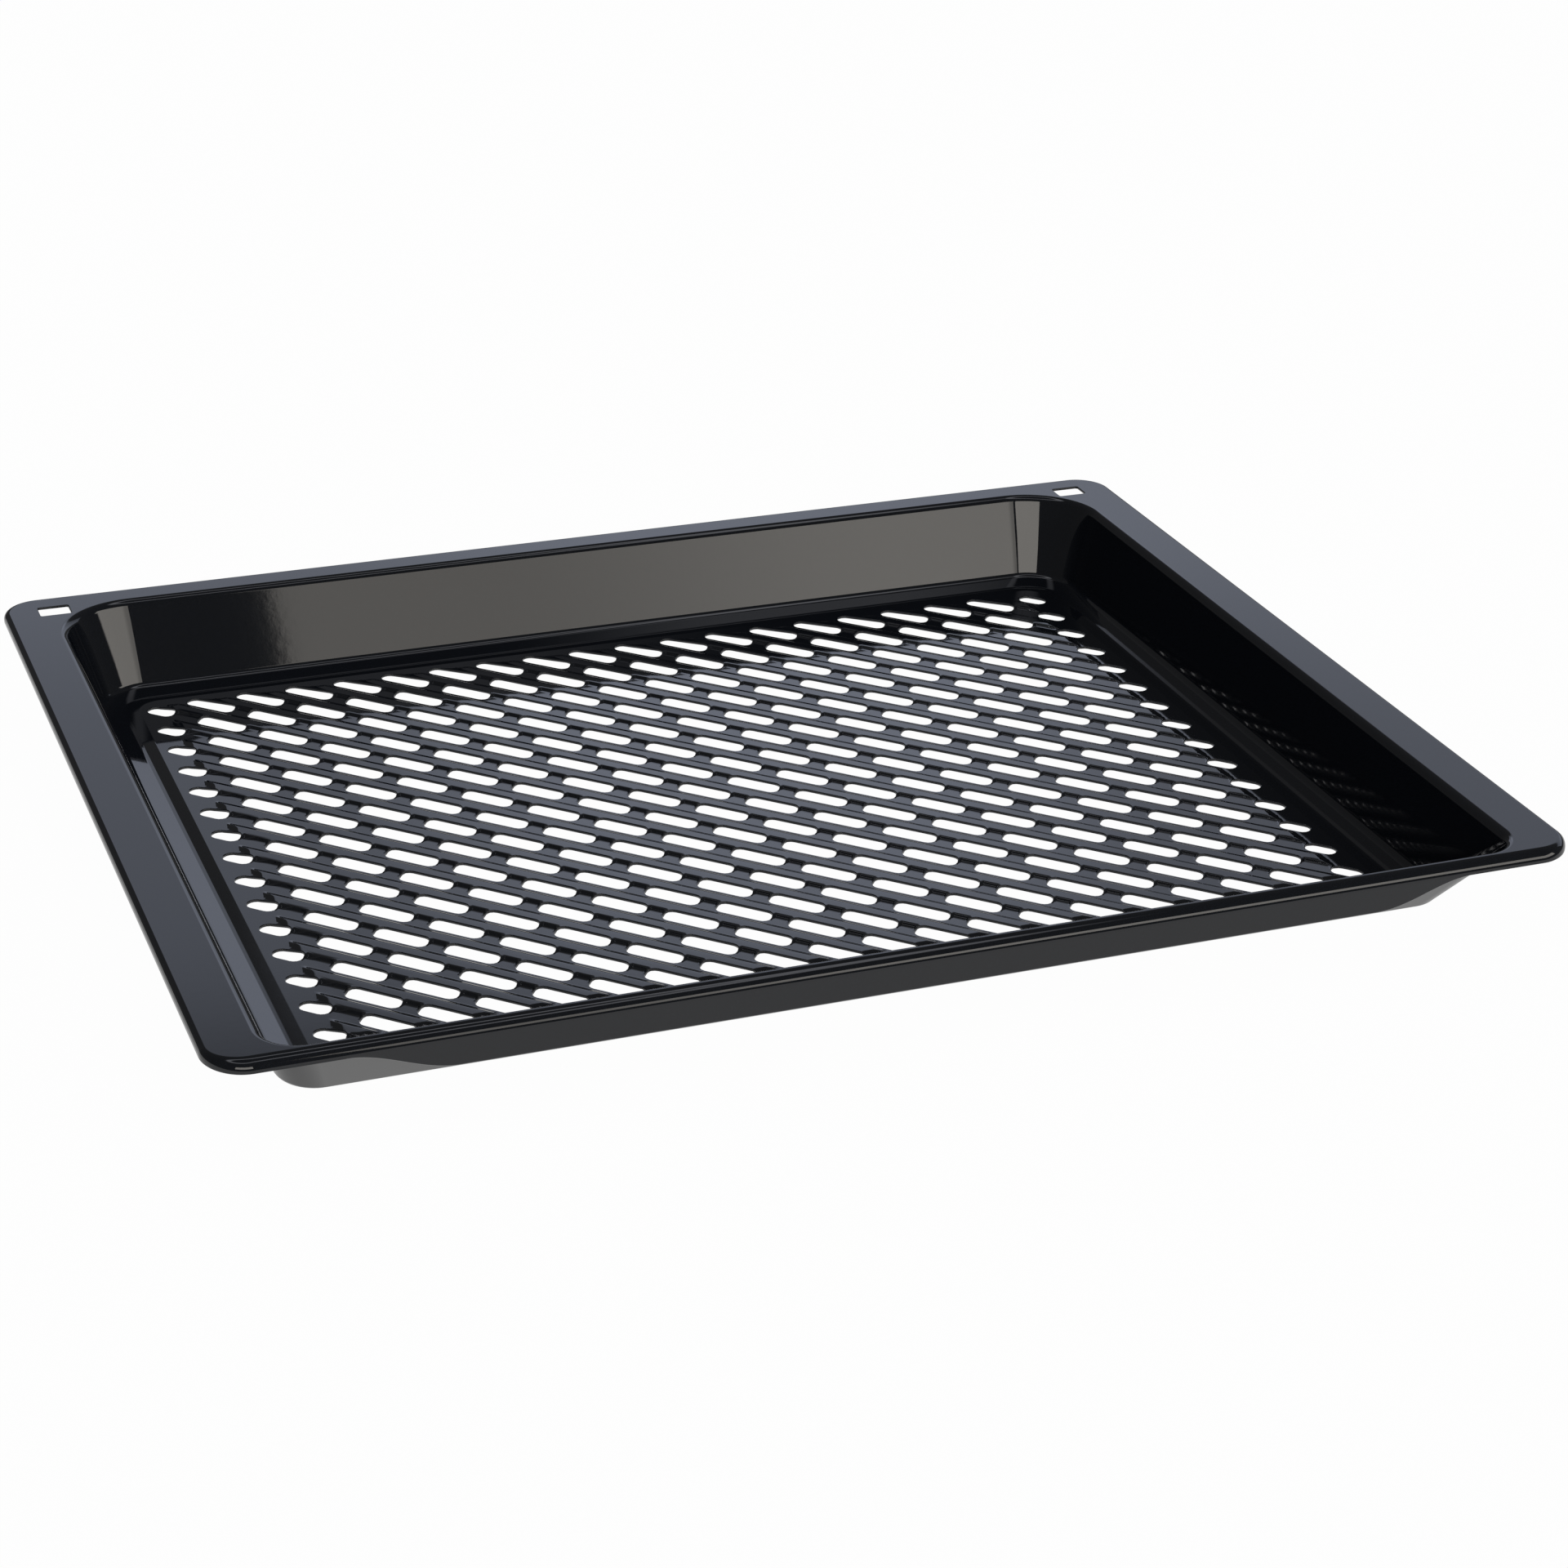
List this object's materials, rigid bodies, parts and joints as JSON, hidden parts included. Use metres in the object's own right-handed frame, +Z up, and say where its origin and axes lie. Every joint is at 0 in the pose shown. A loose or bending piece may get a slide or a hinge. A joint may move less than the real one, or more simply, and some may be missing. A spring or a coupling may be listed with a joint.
{
  "type": "oven grill plate",
  "caption": "Shallow enamelled oven tray with a floor of diagonal slots and raised ribs, a turned-down rim and a deeper front apron.",
  "frame": {"origin": "centre of the tray in plan, on the plane it stands on", "axes": "+X to the right along the tray's width, +Y to the back where the rectangular holes are, +Z up out of the well"},
  "size_m": [0.455, 0.375, 0.032],
  "materials": {
    "enamel": "glossy blue-black vitreous enamel"
  },
  "bodies": {
    "root": {"grill_plate": "enamel"}
  },
  "joints": []
}
